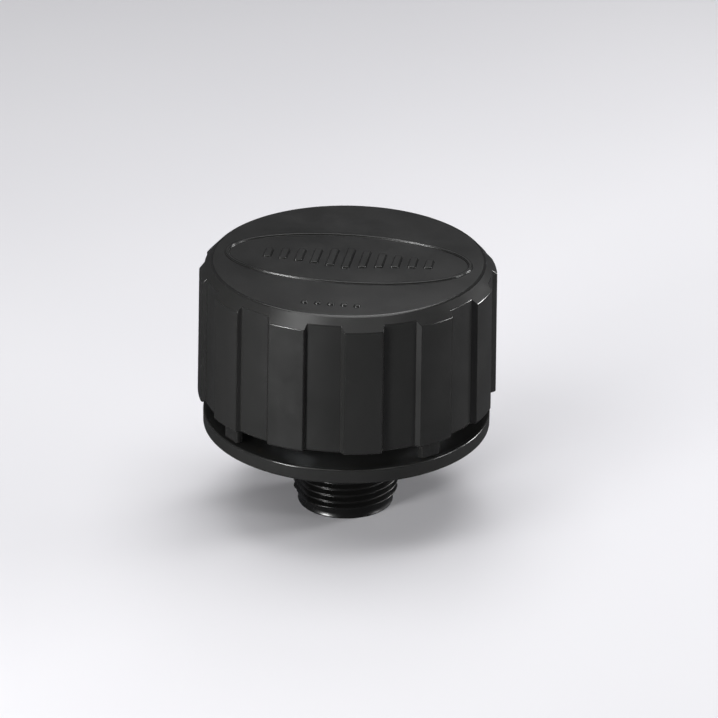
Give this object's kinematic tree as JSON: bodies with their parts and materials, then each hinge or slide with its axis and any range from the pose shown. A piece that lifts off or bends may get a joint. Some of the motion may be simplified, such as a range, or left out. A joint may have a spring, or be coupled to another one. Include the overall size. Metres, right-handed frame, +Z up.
{
  "type": "pneumatic muffler",
  "caption": "Round pneumatic exhaust muffler with a castellated screw-off cap over a pleated element, an open ring gap above the base flange and a male taper pipe spigot.",
  "frame": {"origin": "centre of the spigot's lower end face, which the part stands on", "axes": "+Z up along the spigot and the cap's axis, +X along the long axis of the oval on the cap, -Y towards the row of pips"},
  "size_m": [0.0738, 0.0738, 0.0662],
  "materials": {
    "housing": "satin moulded glass-filled nylon, black",
    "acetal": "moulded acetal, natural white",
    "steel": "zinc-plated steel",
    "galvanised": "galvanised sheet",
    "seal": "matt nitrile rubber",
    "potting": "cast polyurethane",
    "media": "resin-treated filter paper",
    "foam": "open-cell polyester foam, charcoal"
  },
  "bodies": {
    "base": {"base_body": "housing", "post_cage": "housing", "thread_post": "acetal", "post_screw": "steel", "post_washer": "steel", "lower_seal_ring": "seal", "lower_end_cap": "galvanised", "lower_potting": "potting", "element_core": "galvanised", "pleated_media": "media", "seam_clip": "galvanised", "outer_guard": "galvanised", "upper_potting": "potting", "upper_end_cap": "galvanised", "upper_seal_ring": "seal"},
    "slip_ring": {"slip_ring": "acetal"},
    "cap": {"cap_shell": "housing", "thread_bush": "acetal", "acoustic_liner": "foam", "acoustic_top_pad": "foam", "liner_retainer": "steel"}
  },
  "joints": [
    {"name": "cap_lift", "type": "slide", "parent": "base", "child": "slip_ring", "axis": [0, 0, 1], "range_m": [0, 0.012]},
    {"name": "cap_turn", "type": "hinge", "parent": "slip_ring", "child": "cap", "pos_m": [0, 0, 0.057], "axis": [0, 0, 1], "range_deg": [0, 540]}
  ],
  "couplings": [
    {"joint": "cap_lift", "follows": "cap_turn", "m_per_rad": 0.0012732}
  ]
}
